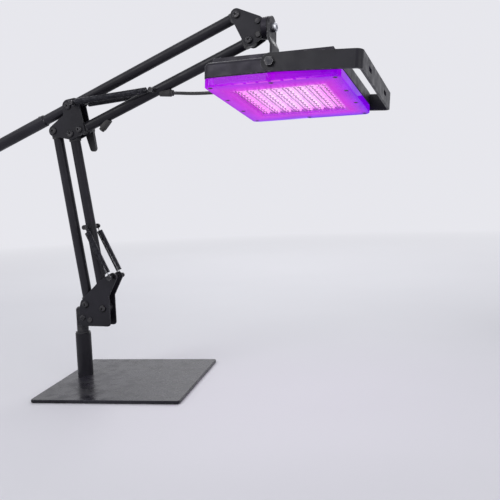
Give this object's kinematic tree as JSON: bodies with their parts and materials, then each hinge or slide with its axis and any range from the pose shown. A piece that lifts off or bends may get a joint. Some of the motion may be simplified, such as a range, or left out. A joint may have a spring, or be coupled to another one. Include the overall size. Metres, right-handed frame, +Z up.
{
  "type": "screen printing exposure unit",
  "caption": "Ultraviolet exposure lamp for screen printing: weighted base plate, swivelling post, spring-balanced double-parallelogram arm, flat emitter head that tilts, stand bracket.",
  "frame": {"origin": "on the arm's swivel axis, on the surface that the base stands on", "axes": "+Z up; +X towards the lamp's side along the base plate's long edges; the arm is swung 10 degrees from +X towards -Y, the user's side"},
  "size_m": [0.5371, 0.2482, 0.4452],
  "materials": {
    "black_paint": "satin",
    "black_plastic": "fine moulded grain",
    "zinc_steel": "zinc plated",
    "black_steel": "black oxide",
    "spring_steel": "drawn wire, dark",
    "rubber": "matt",
    "housing_alloy": "black anodised",
    "clear_cover": "moulded clear",
    "board_white": "white solder mask on aluminium",
    "emitter": "clear dome, glows violet",
    "driver_case": "potted",
    "lead_jacket": "matt"
  },
  "bodies": {
    "base": {"base_plate": "black_paint", "base_pad": "rubber", "post": "black_paint", "post_screw": "zinc_steel", "post_bush": "black_plastic"},
    "swivel": {"swivel_spigot": "black_steel", "swivel_plate_near": "black_paint", "swivel_plate_far": "black_paint", "swivel_rivets": "black_steel", "swivel_bolts": "black_steel", "swivel_nuts": "black_steel", "lower_spring_studs": "black_steel", "lower_spring_near": "spring_steel", "lower_spring_far": "spring_steel"},
    "lower_left": {"lower_tube_left": "black_paint", "lower_left_plugs": "black_plastic"},
    "lower_right": {"lower_tube_right": "black_paint", "lower_right_plugs": "black_plastic", "lower_spring_pin": "black_steel"},
    "elbow": {"elbow_plate_near": "black_paint", "elbow_plate_far": "black_paint", "elbow_bolts": "black_steel", "elbow_nuts": "black_steel", "elbow_lever_bolt": "black_steel", "upper_spring_studs": "black_steel", "upper_spring_near": "spring_steel", "upper_spring_far": "spring_steel"},
    "elbow_lever": {"elbow_lever": "black_plastic"},
    "upper_low": {"upper_tube_low": "black_paint", "upper_low_plugs": "black_plastic", "upper_spring_pin": "black_steel", "lead_grommets": "rubber", "lead_arm": "lead_jacket"},
    "upper_top": {"upper_tube_top": "black_paint", "upper_top_plugs": "black_plastic", "counterweight": "black_paint", "counterweight_screw": "black_steel"},
    "head": {"head_plate_near": "black_paint", "head_plate_far": "black_paint", "head_bolts": "black_steel", "head_nuts": "black_steel", "head_rivets": "black_steel", "head_block": "housing_alloy", "friction_washer": "black_plastic", "tilt_bolt": "zinc_steel"},
    "lamp": {"lamp_strap": "black_paint", "strap_screws": "zinc_steel", "lamp_housing": "housing_alloy", "cover_gasket": "rubber", "emitter_board": "board_white", "emitters": "emitter", "lamp_cover": "clear_cover", "cover_screws": "zinc_steel", "driver_box": "housing_alloy", "driver_box_screws": "zinc_steel", "driver": "driver_case", "cable_gland": "black_plastic", "yoke_bolts": "black_steel", "lead_lamp": "lead_jacket"},
    "yoke": {"lamp_yoke": "black_paint"}
  },
  "joints": [
    {"name": "arm_swivel", "type": "hinge", "parent": "base", "child": "swivel", "pos_m": [0, 0, 0.06], "axis": [0, 0, 1], "range_deg": [-170, 170]},
    {"name": "lower_arm_tilt", "type": "hinge", "parent": "swivel", "child": "lower_left", "pos_m": [0.01132, -0.002, 0.098], "axis": [0.1736, 0.9848, 0], "range_deg": [-15, 48]},
    {"name": "lower_link_tilt", "type": "hinge", "parent": "swivel", "child": "lower_right", "pos_m": [0.03575, -0.0063, 0.093], "axis": [0.1736, 0.9848, 0], "range_deg": [-15, 48], "deforming": ["lower_spring_near", "lower_spring_far"]},
    {"name": "elbow_level", "type": "hinge", "parent": "lower_left", "child": "elbow", "pos_m": [-0.01965, 0.00347, 0.3218], "axis": [0.1736, 0.9848, 0], "range_deg": [-48, 15]},
    {"name": "upper_arm_tilt", "type": "hinge", "parent": "elbow", "child": "upper_low", "pos_m": [0.01743, -0.00307, 0.3216], "axis": [0.1736, 0.9848, 0], "range_deg": [-8, 50], "deforming": ["upper_spring_near", "upper_spring_far"]},
    {"name": "upper_link_tilt", "type": "hinge", "parent": "elbow", "child": "upper_top", "pos_m": [0.00334, -0.00059, 0.3515], "axis": [0.1736, 0.9848, 0], "range_deg": [-8, 50]},
    {"name": "head_level", "type": "hinge", "parent": "upper_low", "child": "head", "pos_m": [0.24527, -0.04325, 0.4081], "axis": [0.1736, 0.9848, 0], "range_deg": [-50, 8]},
    {"name": "elbow_lever_turn", "type": "hinge", "parent": "elbow", "child": "elbow_lever", "pos_m": [0.01951, 0.00874, 0.3216], "axis": [0.1736, 0.9848, 0], "range_deg": [-60, 60]},
    {"name": "lamp_tilt", "type": "hinge", "parent": "head", "child": "lamp", "pos_m": [0.26717, -0.04711, 0.4205], "axis": [0.9848, -0.1736, 0], "range_deg": [-35, 54]},
    {"name": "yoke_swing", "type": "hinge", "parent": "lamp", "child": "yoke", "pos_m": [0.2945, -0.06317, 0.3525], "axis": [0.1714, 0.972, -0.1607], "range_deg": [-80, 85]}
  ],
  "couplings": [
    {"joint": "lower_link_tilt", "follows": "lower_arm_tilt", "ratio": 1},
    {"joint": "elbow_level", "follows": "lower_arm_tilt", "ratio": -1},
    {"joint": "upper_link_tilt", "follows": "upper_arm_tilt", "ratio": 1},
    {"joint": "head_level", "follows": "upper_arm_tilt", "ratio": -1}
  ]
}
